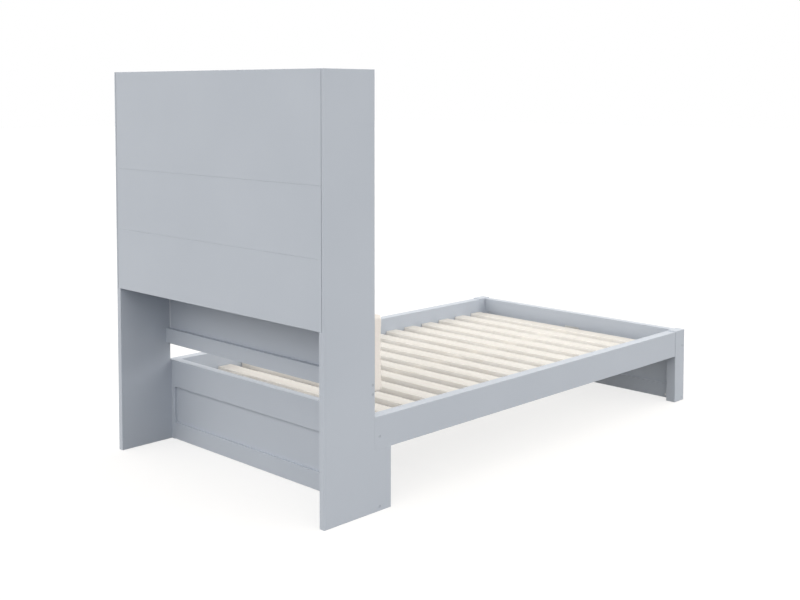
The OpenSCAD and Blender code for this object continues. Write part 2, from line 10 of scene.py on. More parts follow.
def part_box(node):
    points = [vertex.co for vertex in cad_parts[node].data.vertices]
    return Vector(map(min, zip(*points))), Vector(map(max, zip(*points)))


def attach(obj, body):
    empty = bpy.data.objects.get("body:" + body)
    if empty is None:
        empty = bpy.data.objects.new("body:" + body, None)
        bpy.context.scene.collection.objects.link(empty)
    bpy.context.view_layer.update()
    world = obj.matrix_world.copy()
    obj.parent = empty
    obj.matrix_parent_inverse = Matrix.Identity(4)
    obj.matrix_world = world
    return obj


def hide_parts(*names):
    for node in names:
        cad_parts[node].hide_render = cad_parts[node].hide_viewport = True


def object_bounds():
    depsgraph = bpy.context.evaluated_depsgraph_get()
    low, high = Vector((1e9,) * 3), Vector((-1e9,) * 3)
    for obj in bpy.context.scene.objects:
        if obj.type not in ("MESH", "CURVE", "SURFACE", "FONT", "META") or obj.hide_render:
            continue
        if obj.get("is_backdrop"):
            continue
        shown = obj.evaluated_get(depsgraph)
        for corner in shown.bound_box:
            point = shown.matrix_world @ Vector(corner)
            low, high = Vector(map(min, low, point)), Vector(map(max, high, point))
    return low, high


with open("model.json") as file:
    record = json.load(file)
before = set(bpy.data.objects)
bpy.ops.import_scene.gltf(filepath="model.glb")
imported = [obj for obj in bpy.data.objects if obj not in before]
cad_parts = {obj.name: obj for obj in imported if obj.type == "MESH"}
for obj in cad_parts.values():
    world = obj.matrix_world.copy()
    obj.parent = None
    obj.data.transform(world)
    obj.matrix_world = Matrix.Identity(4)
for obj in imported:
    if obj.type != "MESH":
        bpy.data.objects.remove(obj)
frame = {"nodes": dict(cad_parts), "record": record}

# %% [markdown]
# # A slatted bed with a bookcase for a headboard
#
# The construction model is already loaded: sixty named pieces, in metres, with the floor at
# z = 0, the head of the bed at +Y and the foot at -Y. This lesson gives them their looks. Flat
# boards keep the shape they have and get paint or bare wood. The slats and the screws are grown
# by Geometry Nodes, because they repeat, and the backrest is filled like a real cushion.

# %% What the model holds
nodes = frame["nodes"]
frame_low, frame_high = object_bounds()
frame_size = frame_high - frame_low
slat_names = sorted(name for name in nodes if name.startswith("slat_") and name[5:].isdigit())
print("pieces:", len(nodes), "of which slats:", len(slat_names))
print("width, length and height in mm:", [round(1000 * side) for side in frame_size])

# %% [markdown]
# ## The camera
#
# The photograph looks at the bed from behind its left rear corner. Its upright edges stay nearly
# upright, so the camera was almost level and the picture was cropped from a larger one: the
# point straight ahead of the lens lies above the middle. A camera tilted far down would bring the
# uprights together, so this one dips only a little and its lens is shifted for the rest.

# %% Camera
PICTURE_WIDTH, PICTURE_HEIGHT = 800, 600
SENSOR_WIDTH, FOCAL_PIXELS = 36.0, 1138.2
AHEAD_X, AHEAD_Y = 441.0, 160.0
CAMERA_PLACE = (-3.5267, 3.6612, 1.4910)
TURN, DIP, ROLL = math.radians(43.06), math.radians(3.373), math.radians(0.171)

camera_data = bpy.data.cameras.new("photo_camera")
camera_data.sensor_width = SENSOR_WIDTH
camera_data.lens = SENSOR_WIDTH * FOCAL_PIXELS / PICTURE_WIDTH
camera_data.shift_x = (PICTURE_WIDTH / 2 - AHEAD_X) / PICTURE_WIDTH
camera_data.shift_y = (AHEAD_Y - PICTURE_HEIGHT / 2) / PICTURE_WIDTH
camera_data.clip_end = 100.0

camera = bpy.data.objects.new("photo_camera", camera_data)
ahead = Vector((math.sin(TURN) * math.cos(DIP), -math.cos(TURN) * math.cos(DIP), -math.sin(DIP)))
aim = ahead.to_track_quat("-Z", "Y").to_matrix() @ Matrix.Rotation(ROLL, 3, "Z")
camera.matrix_world = Matrix.Translation(CAMERA_PLACE) @ aim.to_4x4()
bpy.context.scene.collection.objects.link(camera)
bpy.context.scene.camera = camera
lens_shift = [round(camera_data.shift_x, 4), round(camera_data.shift_y, 4)]
print("lens mm:", round(camera_data.lens, 2), "shift:", lens_shift)

# %% [markdown]
# ## Helpers for node trees
#
# Materials and Geometry Nodes are both trees of nodes. The first helper adds a node, sets its
# options and fills its inputs. An input given as another node's output is linked, and anything
# else is written as a plain value. The others stand for the few nodes that come up again and
# again: a sum or product, a noise, a pair of colours, a range and a bump.


# %% Adding a node
def add(tree, kind, inputs=None, **options):
    node = tree.nodes.new(kind)
    for option, value in options.items():
        setattr(node, option, value)
    for name, value in (inputs or {}).items():
        if isinstance(value, bpy.types.NodeSocket):
            tree.links.new(value, node.inputs[name])
        else:
            node.inputs[name].default_value = value
    return node


def calc(tree, operation, *numbers):
    return add(tree, "ShaderNodeMath", dict(enumerate(numbers)), operation=operation).outputs["Value"]


# %% What every material needs
def start_material(name, roughness, **shader_values):
    material = bpy.data.materials.new(name)
    material.use_nodes = True
    tree = material.node_tree
    shader = tree.nodes["Principled BSDF"]
    shader.inputs["Roughness"].default_value = roughness
    for socket, value in shader_values.items():
        shader.inputs[socket.replace("_", " ")].default_value = value
    place = add(tree, "ShaderNodeTexCoord").outputs["Object"]
    return material, tree, shader, place


def noise(tree, place, scale, detail, **more):
    inputs = {"Vector": place, "Scale": scale, "Detail": detail, **more}
    return add(tree, "ShaderNodeTexNoise", inputs).outputs


def colour_between(tree, factor, low, high, start=0.3, end=0.7):
    ramp = add(tree, "ShaderNodeValToRGB", {"Fac": factor})
    ramp.color_ramp.elements[0].position = start
    ramp.color_ramp.elements[0].color = (*low, 1.0)
    ramp.color_ramp.elements[1].position = end
    ramp.color_ramp.elements[1].color = (*high, 1.0)
    return ramp.outputs["Color"]


def vary(tree, factor, low, high):
    spread = add(tree, "ShaderNodeMapRange", {"Value": factor, "To Min": low, "To Max": high})
    return spread.outputs["Result"]


def bump(tree, shader, height, depth, strength):
    relief = add(tree, "ShaderNodeBump", {"Height": height, "Distance": depth, "Strength": strength})
    tree.links.new(relief.outputs["Normal"], shader.inputs["Normal"])


# %% [markdown]
# ## Satin paint
#
# All the boards wear one sprayed grey-blue paint. Sprayed paint is never quite flat: it dries
# with a very fine pebbled skin, its gloss changes in patches of a few centimetres, and its tone
# drifts a little along a board. A picture of paint would show its edges and repeat, so noise in
# the object's own space makes all three. A noise of scale 850 has grains 1/850 of a metre wide.

# %% Paint
DRIFT_SCALE, GLOSS_SCALE, PEBBLE_SCALE = 2.6, 38.0, 850.0
PEBBLE_DEPTH, PEBBLE_STRENGTH = 0.00012, 0.5
SMOOTHER, ROUGHER = 0.07, 0.09


def sprayed_paint(name, dark, light, roughness):
    material, tree, shader, place = start_material(name, roughness, Specular_IOR_Level=0.35)
    drift = noise(tree, place, DRIFT_SCALE, 3.0)["Fac"]
    tree.links.new(colour_between(tree, drift, dark, light), shader.inputs["Base Color"])
    patches = noise(tree, place, GLOSS_SCALE, 4.0)["Fac"]
    gloss = vary(tree, patches, roughness - SMOOTHER, roughness + ROUGHER)
    tree.links.new(gloss, shader.inputs["Roughness"])
    pebble = noise(tree, place, PEBBLE_SCALE, 2.0)["Fac"]
    bump(tree, shader, pebble, PEBBLE_DEPTH, PEBBLE_STRENGTH)
    return material


board_paint = sprayed_paint("grey_blue_paint", (0.433, 0.476, 0.543), (0.450, 0.493, 0.560), 0.42)
bolt_paint = sprayed_paint("grey_blue_bolt_paint", (0.373, 0.413, 0.475), (0.390, 0.430, 0.492), 0.38)
print("paints:", board_paint.name, bolt_paint.name)

# %% [markdown]
# ## Bare softwood
#
# The slats are planed softwood, almost white, with pale rings and fine fibres that run the length
# of each piece. The ledges, the beam and its leg are of a plainer, darker grade, because nobody
# sees them. Wood grain is solid noise that has been pulled out along the trunk, so a Mapping node
# squeezes the other two directions. Each piece lies somewhere else in the same block of grain, so
# no two match. The sides of a slat are painted paler than its top, as painted light between the
# slats, and a face attribute, stored when the slats are made, says which faces are sides.

# %% Softwood
ACROSS_GRAIN, ALONG_GRAIN = 11.0, 0.55
RING_SCALE, RINGS, RING_WAVER, RING_EDGES = 2.3, 16.0, 0.5, (0.05, 0.75)
FIBRE_SCALE, FIBRE_ROUGHNESS, FIBRE_DEPTH, FIBRE_STRENGTH = 46.0, 0.7, 0.0003, 0.55
# Painted light: how much paler the slats' sides are painted than their tops.
SIDE_PAINTED_PALER = 1.42


def softwood(name, grain_axis, spring_wood, summer_wood, roughness=0.55):
    material, tree, shader, place = start_material(name, roughness, Specular_IOR_Level=0.3)
    squeeze = [ACROSS_GRAIN] * 3
    squeeze[grain_axis] = ALONG_GRAIN
    pulled = add(tree, "ShaderNodeMapping", {"Vector": place, "Scale": squeeze}).outputs["Vector"]
    rings = noise(tree, pulled, RING_SCALE, 2.0, Distortion=RING_WAVER)["Fac"]
    wrapped = calc(tree, "PINGPONG", calc(tree, "MULTIPLY", rings, RINGS), 1.0)
    fibres = noise(tree, pulled, FIBRE_SCALE, 5.0, Roughness=FIBRE_ROUGHNESS)["Fac"]
    grain = calc(tree, "MULTIPLY", wrapped, fibres)
    planed = colour_between(tree, grain, spring_wood, summer_wood, *RING_EDGES)
    # Paler copies of the wood colours for the slats' sides: painted light, not a different surface.
    pale = [tuple(SIDE_PAINTED_PALER * part for part in colour) for colour in (spring_wood, summer_wood)]
    painted_lit_sides = colour_between(tree, grain, *pale, *RING_EDGES)
    side_face = add(tree, "ShaderNodeAttribute", attribute_name="side_face").outputs["Fac"]
    shade = add(tree, "ShaderNodeMix", {"Factor": side_face, 6: planed, 7: painted_lit_sides}, data_type="RGBA")
    tree.links.new(shade.outputs[2], shader.inputs["Base Color"])
    gloss = vary(tree, fibres, roughness - 0.1, roughness + 0.12)
    tree.links.new(gloss, shader.inputs["Roughness"])
    bump(tree, shader, fibres, FIBRE_DEPTH, FIBRE_STRENGTH)
    return material


SPRING_WOOD, SUMMER_WOOD = (0.627, 0.618, 0.601), (0.582, 0.559, 0.523)
ROUGH_SPRING_WOOD, ROUGH_SUMMER_WOOD = (0.500, 0.476, 0.440), (0.425, 0.392, 0.345)
slat_wood = softwood("softwood_across", 0, SPRING_WOOD, SUMMER_WOOD)
ledge_wood = softwood("softwood_lengthwise", 1, ROUGH_SPRING_WOOD, ROUGH_SUMMER_WOOD)
leg_wood = softwood("softwood_upright", 2, ROUGH_SPRING_WOOD, ROUGH_SUMMER_WOOD)
dowel_wood = softwood("beech_dowel", 0, (0.58, 0.40, 0.22), (0.46, 0.29, 0.15))
print("woods:", slat_wood.name, ledge_wood.name, leg_wood.name, dowel_wood.name)

# %% [markdown]
# ## Woven cover
#
# The backrest's cover is a plain cream weave. Its threads could be drawn on a UV map, but the
# cushion is remeshed later and loses it. Three sets of ridges, one across each axis, work without
# one: on any face two of the three sets cross and make a weave. The third would draw contour lines
# on the face that it runs along, so an attribute called square_on, stored when the cushion is
# done, says how squarely the cloth faces each axis, and that set fades there. The ridges repeat
# every 1.5 mm, and a little sheen stands for the fuzz on the threads.

# %% Weave
THREAD_PITCH, THREAD_DEPTH, THREAD_STRENGTH = 0.0015, 0.0005, 0.6
PLAIN_BAND_PITCH = math.tau / 20  # of a wave texture whose scale is 1
WOBBLE_SCALE, WOBBLE_REACH, SLUB_SCALE = 90.0, 0.0012, 260.0
DARK_THREAD, PALE_THREAD = (0.790, 0.745, 0.705), (0.872, 0.834, 0.800)


def woven_cover(name):
    material, tree, shader, place = start_material(name, 0.9, Sheen_Weight=0.25, Sheen_Roughness=0.5)
    wobble = {0: noise(tree, place, WOBBLE_SCALE, 2.0)["Color"], "Scale": WOBBLE_REACH}
    nudge = add(tree, "ShaderNodeVectorMath", wobble, operation="SCALE").outputs["Vector"]
    moved = add(tree, "ShaderNodeVectorMath", {0: place, 1: nudge}, operation="ADD").outputs["Vector"]
    square_on = add(tree, "ShaderNodeAttribute", attribute_name="square_on").outputs["Vector"]
    squareness = add(tree, "ShaderNodeSeparateXYZ", {"Vector": square_on}).outputs
    ridges = []
    for axis in ("X", "Y", "Z"):
        bands = {"Vector": moved, "Scale": PLAIN_BAND_PITCH / THREAD_PITCH, "Distortion": 0.0}
        wave = add(tree, "ShaderNodeTexWave", bands, bands_direction=axis).outputs["Fac"]
        ridges.append(calc(tree, "MULTIPLY", wave, calc(tree, "SUBTRACT", 1.0, squareness[axis])))
    crossed = calc(tree, "ADD", calc(tree, "ADD", ridges[0], ridges[1]), ridges[2])
    threads = calc(tree, "DIVIDE", crossed, 2.0)
    slubs = noise(tree, place, SLUB_SCALE, 3.0)["Fac"]
    tone = calc(tree, "MULTIPLY", threads, slubs)
    shade = colour_between(tree, tone, DARK_THREAD, PALE_THREAD, 0.05, 0.45)
    tree.links.new(shade, shader.inputs["Base Color"])
    bump(tree, shader, threads, THREAD_DEPTH, THREAD_STRENGTH)
    return material


cream_cover = woven_cover("cream_weave")
print("cover:", cream_cover.name)

# %% [markdown]
# ## Zinc and plastic
#
# The screws and hangers are bright zinc plate: a metal whose colour and roughness change in
# patches of about 3 mm, where the plating took differently. The glide under the middle leg is
# black plastic with a fine moulded grain.

# %% Fittings' finishes
PATCH_SCALE, DULL_ZINC, BRIGHT_ZINC = 320.0, (0.56, 0.57, 0.58), (0.68, 0.68, 0.67)
MOULD_SCALE, MOULD_DEPTH, MOULD_STRENGTH = 1400.0, 0.0001, 0.5
BLACK, WORN_BLACK = (0.017, 0.017, 0.018), (0.026, 0.026, 0.027)


def zinc_plate(name):
    material, tree, shader, place = start_material(name, 0.36, Metallic=1.0)
    cells = {"Vector": place, "Scale": PATCH_SCALE}
    patches = add(tree, "ShaderNodeTexVoronoi", cells).outputs["Distance"]
    shade = colour_between(tree, patches, DULL_ZINC, BRIGHT_ZINC, 0.1, 0.8)
    tree.links.new(shade, shader.inputs["Base Color"])
    tree.links.new(vary(tree, patches, 0.27, 0.45), shader.inputs["Roughness"])
    return material


def moulded_plastic(name):
    material, tree, shader, place = start_material(name, 0.5)
    grain = noise(tree, place, MOULD_SCALE, 2.0)["Fac"]
    tree.links.new(colour_between(tree, grain, BLACK, WORN_BLACK), shader.inputs["Base Color"])
    bump(tree, shader, grain, MOULD_DEPTH, MOULD_STRENGTH)
    return material


zinc = zinc_plate("bright_zinc")
glide_plastic = moulded_plastic("black_glide_plastic")
print("fittings:", zinc.name, glide_plastic.name)

# %% [markdown]
# ## Every board gets its finish
#
# The record of the model names a finish for each piece, so the boards need no list of their own:
# each piece is looked up there. Only the grain direction of the bare wood depends on the piece.

# %% Finishes by piece
finish_of = {part["node"]: part["material_slot"] for part in frame["record"]["subparts"]}
finishes = {
    "painted_wood": board_paint,
    "cover_fabric": cream_cover,
    "pale_wood": slat_wood,
    "glide_plastic": glide_plastic,
    "hanger_steel": zinc,
    "painted_bolts": bolt_paint,
    "zinc_fittings": zinc,
    "dowel_wood": dowel_wood,
}
other_grain = {
    "slat_ledge_left": ledge_wood,
    "slat_ledge_right": ledge_wood,
    "centre_beam": ledge_wood,
    "centre_leg": leg_wood,
}
for name, piece in nodes.items():
    finish = other_grain.get(name, finishes[finish_of[name]])
    piece.data.materials.clear()
    piece.data.materials.append(finish)
print("pieces finished:", len(nodes))

# %% [markdown]
# ## Growing pieces with Geometry Nodes
#
# A tree of geometry nodes is a recipe with named inputs. Two helpers open and close a recipe. The
# one called grow puts it on an object, fills in its inputs, reads off the mesh that grows, and
# keeps that mesh as a plain piece with no modifier left on it. Each input is found by its name and
# set by its identifier, which is what the modifier stores.


# %% Recipe helpers
def new_recipe(name, inputs):
    tree = bpy.data.node_groups.new(name, "GeometryNodeTree")
    tree.interface.new_socket("Geometry", in_out="INPUT", socket_type="NodeSocketGeometry")
    for label, kind in inputs.items():
        tree.interface.new_socket(label, in_out="INPUT", socket_type=kind)
    tree.interface.new_socket("Geometry", in_out="OUTPUT", socket_type="NodeSocketGeometry")
    return tree, add(tree, "NodeGroupInput").outputs


def end_recipe(tree, geometry):
    given = next(node for node in tree.nodes if node.bl_idname == "NodeGroupInput").outputs
    solid = add(tree, "GeometryNodeRealizeInstances", {"Geometry": geometry}).outputs["Geometry"]
    finished = add(tree, "GeometryNodeSetMaterial", {"Geometry": solid, "Material": given["Finish"]})
    add(tree, "NodeGroupOutput", {"Geometry": finished.outputs["Geometry"]})


def mesh_as_seen(piece):
    return bpy.data.meshes.new_from_object(piece.evaluated_get(bpy.context.evaluated_depsgraph_get()))


def grow(name, tree, seed_mesh, **values):
    seed = bpy.data.objects.new(name + "_seed", seed_mesh)
    bpy.context.scene.collection.objects.link(seed)
    modifier = seed.modifiers.new("recipe", "NODES")
    modifier.node_group = tree
    for item in tree.interface.items_tree:
        if item.in_out == "INPUT" and item.name in values:
            modifier[item.identifier] = values[item.name]
    mesh = mesh_as_seen(seed)
    mesh.name = name
    seed.modifiers.remove(modifier)
    bpy.data.objects.remove(seed)
    piece = bpy.data.objects.new(name, mesh)
    bpy.context.scene.collection.objects.link(piece)
    return piece


# %% [markdown]
# ## The slats
#
# Fifteen slats lie across the bed. Each is one long bar with softly rounded long edges. The
# recipe draws the bar's end as a rectangle, rounds its corners with Fillet Curve, and sweeps it
# along a line. The CAD slat has flat bevels, and the rounded ones catch the light better.

# %% Slat recipe
SLAT_ROUNDING, ROUNDING_POINTS = 0.003, 4
SIDE_RISE = 0.6  # the normal of a side rises less than this

slat_recipe, given = new_recipe(
    "slat_recipe",
    {
        "Length": "NodeSocketFloat",
        "Width": "NodeSocketFloat",
        "Thickness": "NodeSocketFloat",
        "Rounding": "NodeSocketFloat",
        "Middle": "NodeSocketVector",
        "Finish": "NodeSocketMaterial",
    },
)
half = calc(slat_recipe, "MULTIPLY", given["Length"], 0.5)
back = calc(slat_recipe, "MULTIPLY", half, -1.0)
line_start = add(slat_recipe, "ShaderNodeCombineXYZ", {"X": back}).outputs["Vector"]
line_end = add(slat_recipe, "ShaderNodeCombineXYZ", {"X": half}).outputs["Vector"]
line = add(slat_recipe, "GeometryNodeCurvePrimitiveLine", {"Start": line_start, "End": line_end})
end_shape = add(
    slat_recipe,
    "GeometryNodeCurvePrimitiveQuadrilateral",
    {"Width": given["Width"], "Height": given["Thickness"]},
)
rounded = add(
    slat_recipe,
    "GeometryNodeFilletCurve",
    {"Curve": end_shape.outputs["Curve"], "Radius": given["Rounding"], "Count": ROUNDING_POINTS},
    mode="POLY",
)
bar = add(
    slat_recipe,
    "GeometryNodeCurveToMesh",
    {"Curve": line.outputs["Curve"], "Profile Curve": rounded.outputs["Curve"], "Fill Caps": True},
)
placed = add(
    slat_recipe,
    "GeometryNodeTransform",
    {"Geometry": bar.outputs["Mesh"], "Translation": given["Middle"]},
)
normal = add(slat_recipe, "GeometryNodeInputNormal").outputs["Normal"]
upward = add(slat_recipe, "ShaderNodeSeparateXYZ", {"Vector": normal}).outputs["Z"]
is_side = calc(slat_recipe, "LESS_THAN", calc(slat_recipe, "ABSOLUTE", upward), SIDE_RISE)
# Side faces are marked here so that the wood material paints them paler: painted light.
marked = add(
    slat_recipe,
    "GeometryNodeStoreNamedAttribute",
    {"Geometry": placed.outputs["Geometry"], "Name": "side_face", "Value": is_side},
    data_type="FLOAT",
    domain="FACE",
)
end_recipe(slat_recipe, marked.outputs["Geometry"])
print("nodes in the slat recipe:", len(slat_recipe.nodes))

# %% Growing fifteen slats
for name in slat_names:
    low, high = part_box(name)
    size, middle = high - low, (high + low) / 2
    slat = grow(
        name.replace("slat_", "slat_board_"),
        slat_recipe,
        bpy.data.meshes.new("seed"),
        Length=size.x,
        Width=size.y,
        Thickness=size.z,
        Rounding=SLAT_ROUNDING,
        Middle=middle,
        Finish=slat_wood,
    )
    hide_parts(name)
    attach(slat, "root")
print("last slat:", slat.name, [round(1000 * side, 1) for side in slat.dimensions])

# %% [markdown]
# ## Where the screws go
#
# A fastener node of the CAD model is a group of small solids. Their places could be typed in
# again, but then they would have to be kept in step by hand. It is safer to read them off: a copy
# of the mesh is merged into connected islands, and each island's box says where one screw sits.

# %% Reading the screws' places
SAME_POINT = 1e-6


def islands(node):
    loose = bmesh.new()
    loose.from_mesh(nodes[node].data)
    bmesh.ops.remove_doubles(loose, verts=loose.verts, dist=SAME_POINT)
    waiting, boxes = set(loose.verts), []
    while waiting:
        shore = [waiting.pop()]
        low, high = shore[0].co.copy(), shore[0].co.copy()
        while shore:
            vertex = shore.pop()
            low = Vector(map(min, low, vertex.co))
            high = Vector(map(max, high, vertex.co))
            for edge in vertex.link_edges:
                other = edge.other_vert(vertex)
                if other in waiting:
                    waiting.remove(other)
                    shore.append(other)
        boxes.append((low, high))
    loose.free()
    return sorted(boxes, key=lambda pair: tuple(pair[0]))


def head_points(node, facing):
    mesh = bpy.data.meshes.new(node + "_places")
    places, directions = [], []
    for low, high in islands(node):
        middle = (low + high) / 2
        way = Vector(facing(middle))
        reach = abs(way.dot(high - low)) / 2
        places.append(middle + way * reach)
        directions.append(way)
    mesh.from_pydata(places, [], [])
    attribute = mesh.attributes.new("facing", "FLOAT_VECTOR", "POINT")
    attribute.data.foreach_set("vector", [c for way in directions for c in way])
    return mesh


print("slat screws found:", len(islands("slat_screws")))

# %% [markdown]
# ## A screw and a bolt to copy
#
# Each kind of fastener is made once, standing on its tip with its head's face at z = 0. A lathe
# is the natural tool: the outline of half the screw is spun round the z axis. The recess for the
# driver is then cut out of the head, a cross for the wood screws and a hexagon for the bolts.


# %% Turning
def mesh_from(shape, name):
    mesh = bpy.data.meshes.new(name)
    shape.to_mesh(mesh)
    shape.free()
    return mesh


def turned(name, outline, steps=20):
    shape = bmesh.new()
    verts = [shape.verts.new((radius, 0.0, height)) for radius, height in outline]
    for a, b in zip(verts, verts[1:]):
        shape.edges.new((a, b))
    spun = shape.verts[:] + shape.edges[:]
    bmesh.ops.spin(shape, geom=spun, cent=(0, 0, 0), axis=(0, 0, 1), angle=math.tau, steps=steps)
    bmesh.ops.remove_doubles(shape, verts=shape.verts, dist=SAME_POINT)
    bmesh.ops.recalc_face_normals(shape, faces=shape.faces)
    return mesh_from(shape, name)


# %% Cutting
def recess_cutter(name, corners, depth, floor_scale, overshoot=0.001):
    shape = bmesh.new()
    top = [shape.verts.new((x, y, overshoot)) for x, y in corners]
    bottom = [shape.verts.new((x * floor_scale, y * floor_scale, -depth)) for x, y in corners]
    shape.faces.new(top)
    shape.faces.new(list(reversed(bottom)))
    for i, corner in enumerate(top):
        j = (i + 1) % len(top)
        shape.faces.new((corner, bottom[i], bottom[j], top[j]))
    bmesh.ops.recalc_face_normals(shape, faces=shape.faces)
    return mesh_from(shape, name)


def with_recess(mesh, cutter_mesh):
    body = bpy.data.objects.new(mesh.name, mesh)
    cutter = bpy.data.objects.new(cutter_mesh.name, cutter_mesh)
    for item in (body, cutter):
        bpy.context.scene.collection.objects.link(item)
    cut = body.modifiers.new("recess", "BOOLEAN")
    cut.operation, cut.solver, cut.object = "DIFFERENCE", "EXACT", cutter
    result = mesh_as_seen(body)
    result.name = mesh.name + "_cut"
    for item in (body, cutter):
        bpy.data.objects.remove(item)
    return result


# %% One wood screw and one frame bolt
def wood_screw(name, length):
    head, shank, tip, tip_taper, rim = 0.004, 0.002, 0.004, 0.002, 0.0002
    outline = [(0, -length), (shank * 0.8, tip - length), (shank, tip + tip_taper - length)]
    outline += [(shank, shank - head), (head, -rim), (head * 0.94, 0.0), (0, 0.0)]
    arm, web, recess, floor_scale = 0.0022, 0.0006, 0.0014, 0.6
    cross = [(arm, -web), (arm, web), (web, web), (web, arm), (-web, arm), (-web, web)]
    cross += [(-x, -y) for x, y in cross]
    cutter = recess_cutter(name + "_cross", cross, recess, floor_scale)
    return with_recess(turned(name, outline), cutter)


def frame_bolt(name, length):
    head, shank, head_height, rim = 0.005, 0.003, 0.005, 0.0006
    outline = [(0, -length), (shank * 0.85, -length), (shank, rim - length), (shank, -head_height)]
    outline += [(head, -head_height), (head, -rim), (head - rim * 0.3, -rim * 0.3), (head - rim, 0.0)]
    outline += [(0, 0.0)]
    key, recess, floor_scale = 0.0025, 0.0009, 0.9
    corner = key / math.cos(math.pi / 6)
    turns = [i * math.pi / 3 for i in range(6)]
    hexagon = [(corner * math.cos(turn), corner * math.sin(turn)) for turn in turns]
    cutter = recess_cutter(name + "_hexagon", hexagon, recess, floor_scale)
    return with_recess(turned(name, outline, 24), cutter)


print("faces in one wood screw:", len(wood_screw("test_screw", 0.044).polygons))

# %% [markdown]
# ## Setting the screws in rows
#
# The recipe takes the points that were read off, puts a copy of the screw on each with Instance
# on Points, and turns it until its head faces the way that the point says. Realize Instances then
# makes real mesh of the copies, so each group of screws is one plain piece.

# %% Screw recipe
screw_recipe, given = new_recipe(
    "screw_recipe",
    {"Pattern": "NodeSocketObject", "Finish": "NodeSocketMaterial"},
)
pattern = add(screw_recipe, "GeometryNodeObjectInfo", {"Object": given["Pattern"]})
facing = add(
    screw_recipe,
    "GeometryNodeInputNamedAttribute",
    {"Name": "facing"},
    data_type="FLOAT_VECTOR",
).outputs["Attribute"]
turn = add(screw_recipe, "FunctionNodeAlignRotationToVector", {"Vector": facing}, axis="Z")
copies = add(
    screw_recipe,
    "GeometryNodeInstanceOnPoints",
    {
        "Points": given["Geometry"],
        "Instance": pattern.outputs["Geometry"],
        "Rotation": turn.outputs["Rotation"],
    },
)
end_recipe(screw_recipe, copies.outputs["Instances"])
print("nodes in the screw recipe:", len(screw_recipe.nodes))


# %% Placing each group of fasteners
def set_fasteners(node, make, facing_rule, finish):
    low, high = islands(node)[0]
    length = max(high - low)
    pattern = bpy.data.objects.new(node + "_pattern", make(node + "_pattern", length))
    bpy.context.scene.collection.objects.link(pattern)
    places = head_points(node, facing_rule)
    piece = grow(node + "_set", screw_recipe, places, Pattern=pattern, Finish=finish)
    bpy.data.objects.remove(pattern)
    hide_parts(node)
    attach(piece, "root")
    print(node, "length mm:", round(1000 * length), "faces:", len(piece.data.polygons))


heads_face = {
    "outward": lambda middle: (math.copysign(1, middle.x), 0, 0),
    "inward": lambda middle: (-math.copysign(1, middle.x), 0, 0),
    "up": lambda middle: (0, 0, 1),
    "to the foot": lambda middle: (0, -1, 0),
    "to the middle": lambda middle: (0, -math.copysign(1, middle.y), 0),
}
fasteners = [
    ("corner_bolts", frame_bolt, "outward", bolt_paint, "painted_bolts"),
    ("batten_bolts", frame_bolt, "outward", bolt_paint, "painted_bolts"),
    ("rail_bolts", frame_bolt, "to the foot", zinc, "zinc_fittings"),
    ("slat_screws", wood_screw, "up", zinc, "zinc_fittings"),
    ("ledge_screws", wood_screw, "inward", zinc, "zinc_fittings"),
    ("backrest_screws", wood_screw, "to the foot", zinc, "zinc_fittings"),
    ("hanger_screws", wood_screw, "to the middle", zinc, "zinc_fittings"),
]
for node, make, way, finish, slot in fasteners:
    set_fasteners(node, make, heads_face[way], finish)

# %% [markdown]
# ## The padded backrest
#
# The pad is a foam slab in a tight woven cover, flat against its board. A modelled block would
# look hard, so the cover is blown up a little by Blender's Cloth, with a pinned back. The solid
# from the CAD model is the start: it is merged, made slightly smaller and remeshed into even
# squares, because cloth folds evenly only on an even mesh. The foam inside keeps the edges
# square, so the cap on the movement is tight at the border and grows smoothly to the middle.

# %% Pad mesh
# The slab starts 1.5 mm smaller all round and at 93% of the pad's thickness, with fuller edges.
SHRINK, SLAB_SHARE, EDGE_FILL, SQUARE = 0.0015, 0.93, 1.1, 0.0055


def merged_copy(node):
    shape = bmesh.new()
    shape.from_mesh(nodes[node].data)
    bmesh.ops.remove_doubles(shape, verts=shape.verts, dist=SAME_POINT)
    return mesh_from(shape, node + "_copy")


def apply_modifiers(piece):
    mesh = mesh_as_seen(piece)
    piece.modifiers.clear()
    piece.data = mesh


pad_low, pad_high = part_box("backrest_pad")
pad_size, pad_middle = pad_high - pad_low, (pad_low + pad_high) / 2
cushion = bpy.data.objects.new("backrest_cushion", merged_copy("backrest_pad"))
bpy.context.scene.collection.objects.link(cushion)
for vertex in cushion.data.vertices:
    offset = vertex.co - pad_middle
    for axis in (0, 2):
        offset[axis] *= 1 - 2 * SHRINK / pad_size[axis]
    vertex.co = pad_middle + offset
    depth = min((pad_high.y - vertex.co.y) * EDGE_FILL, SLAB_SHARE * pad_size.y)
    vertex.co.y = pad_high.y - depth
remesh = cushion.modifiers.new("even_squares", "REMESH")
remesh.mode, remesh.voxel_size = "VOXEL", SQUARE
apply_modifiers(cushion)
print("pad squares:", len(cushion.data.polygons))

# %% Filling the pad
PRESSURE, WEAVE_STIFFNESS, FOLD_STIFFNESS, LAST_FRAME = 4.0, 12.0, 1.2, 20
PINNED_DEPTH, EDGE_MOVE, MIDDLE_MOVE, SOFT_REACH = 0.004, 0.001, 0.005, 0.12


def from_edge(place, axis):
    return pad_size[axis] / 2 - abs(place[axis] - pad_middle[axis])


def eased(share):
    share = min(max(share, 0), 1)
    return share * share * (3 - 2 * share)


